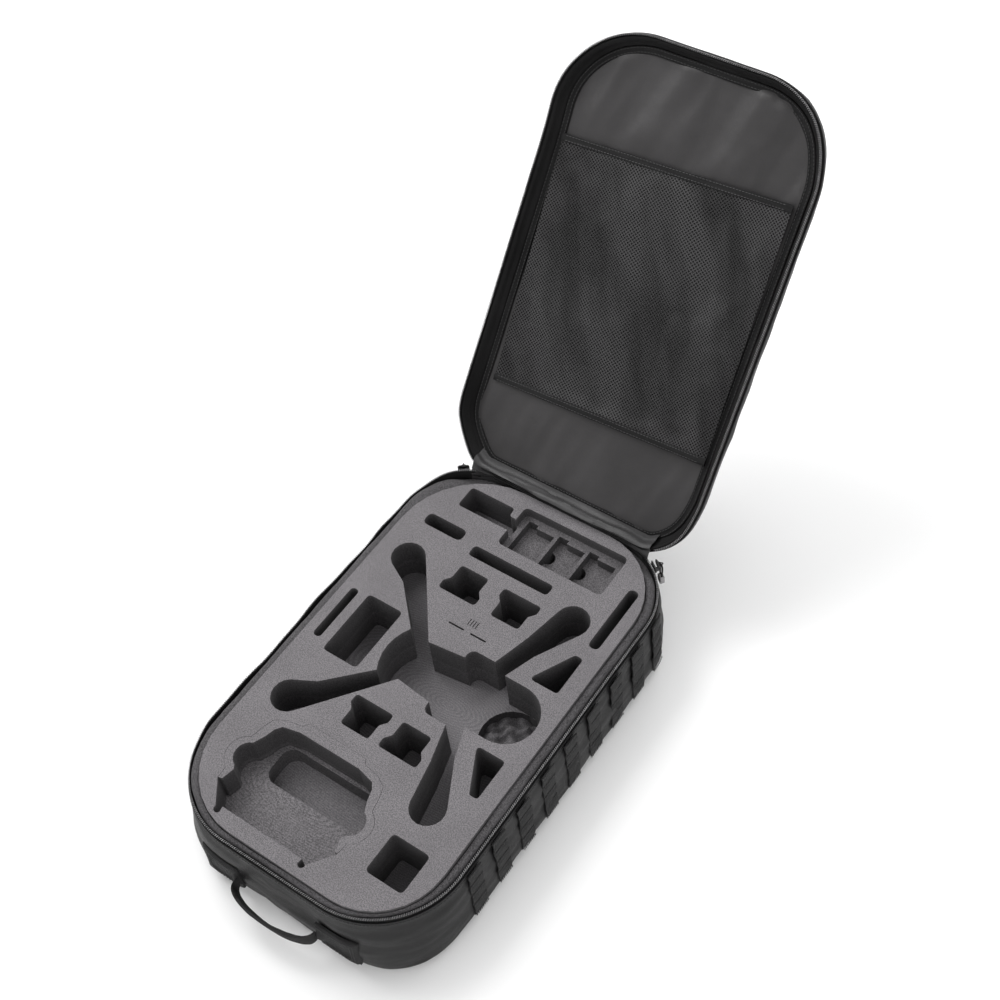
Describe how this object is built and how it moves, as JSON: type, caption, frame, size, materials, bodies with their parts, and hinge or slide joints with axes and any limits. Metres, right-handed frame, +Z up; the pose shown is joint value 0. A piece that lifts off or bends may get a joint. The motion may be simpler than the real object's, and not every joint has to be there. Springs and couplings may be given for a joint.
{
  "type": "drone carrying case",
  "caption": "Open soft-sided zipped backpack case with a padded lid, mesh pocket and fitted foam insert with a drone-shaped cavity.",
  "frame": {"origin": "on the floor under the middle of the base's flat underside", "axes": "+Z up; +Y towards the hinge end with the open lid; +X towards the side with the webbing strips"},
  "size_m": [0.3833, 1.0251, 0.6084],
  "materials": {
    "coated_fabric": "coated weave, charcoal",
    "lining_fabric": "smooth coated lining",
    "grey_foam": "closed-cell foam, cut faces",
    "dark_foam": "foam",
    "stiffener_board": "plain",
    "zip_tape": "woven tape",
    "zip_coil": "satin nylon",
    "pocket_mesh": "knitted mesh",
    "webbing": "woven webbing",
    "slider_metal": "dark coated",
    "pull_end": "moulded"
  },
  "bodies": {
    "base": {"base_shell": "coated_fabric", "base_panel_board": "stiffener_board", "base_side_padding": "dark_foam", "base_rim_padding": "dark_foam", "base_zip_coil": "zip_coil", "base_zip_tape": "zip_tape", "hinge_gusset": "lining_fabric", "foam_far_block": "grey_foam", "foam_upper_block": "grey_foam", "foam_left_block": "grey_foam", "foam_lower_block": "grey_foam", "foam_right_far_block": "grey_foam", "foam_right_near_block": "grey_foam", "foam_corner_block": "grey_foam", "foam_near_block": "grey_foam", "foam_base_layer": "grey_foam", "egg_crate_pad": "dark_foam", "handle_patch_left": "webbing", "handle_patch_right": "webbing", "webbing_strip_1": "webbing", "webbing_strip_2": "webbing", "webbing_strip_3": "webbing", "webbing_strip_4": "webbing", "webbing_strip_5": "webbing", "webbing_strip_6": "webbing", "webbing_strip_7": "webbing", "webbing_strip_8": "webbing", "webbing_strip_9": "webbing"},
    "lid": {"lid_shell": "coated_fabric", "lid_stiffener": "stiffener_board", "lid_panel_foam": "dark_foam", "lid_wall_foam": "dark_foam", "lid_lining": "lining_fabric", "lid_facing": "zip_tape", "lid_binding": "zip_tape", "lid_zip_coil": "zip_coil", "lid_zip_tape": "zip_tape", "pocket_side_strip_left": "zip_tape", "pocket_side_strip_right": "zip_tape", "pocket_bottom_binding": "zip_tape", "pocket_mesh": "pocket_mesh", "pocket_top_binding": "zip_tape"},
    "remote_frame": {"remote_ring_frame": "grey_foam"},
    "handle": {"carry_handle": "webbing"},
    "slider_left": {"zip_slider_left": "slider_metal"},
    "slider_right": {"zip_slider_right": "slider_metal"},
    "pull_left": {"pull_cord_left": "zip_tape", "pull_end_left": "pull_end"},
    "pull_right": {"pull_cord_right": "zip_tape", "pull_end_right": "pull_end"}
  },
  "joints": [
    {"name": "lid_hinge", "type": "hinge", "parent": "base", "child": "lid", "pos_m": [0, 0.295, 0.1356], "axis": [-1, 0, 0], "range_deg": [-128.7, 0]},
    {"name": "remote_frame_lift", "type": "slide", "parent": "base", "child": "remote_frame", "axis": [0, 0, 1], "range_m": [0, 0.05]},
    {"name": "handle_swing", "type": "hinge", "parent": "base", "child": "handle", "pos_m": [0, -0.3125, 0.043], "axis": [-1, 0, 0], "range_deg": [-75, 75], "stiffness_Nm_per_rad": 0.15},
    {"name": "slider_left_run", "type": "hinge", "parent": "base", "child": "slider_left", "pos_m": [-0.0905, 0.2045, 0.127], "axis": [0, 0, 1], "range_deg": [0, 50]},
    {"name": "slider_right_run", "type": "hinge", "parent": "base", "child": "slider_right", "pos_m": [0.0905, 0.2045, 0.127], "axis": [0, 0, -1], "range_deg": [0, 50]},
    {"name": "pull_left_swing", "type": "hinge", "parent": "slider_left", "child": "pull_left", "pos_m": [-0.15527, 0.29365, 0.128], "axis": [0.809, 0.5878, 0], "range_deg": [0, 100]},
    {"name": "pull_right_swing", "type": "hinge", "parent": "slider_right", "child": "pull_right", "pos_m": [0.15527, 0.29365, 0.128], "axis": [0.809, -0.5878, 0], "range_deg": [0, 100]}
  ]
}
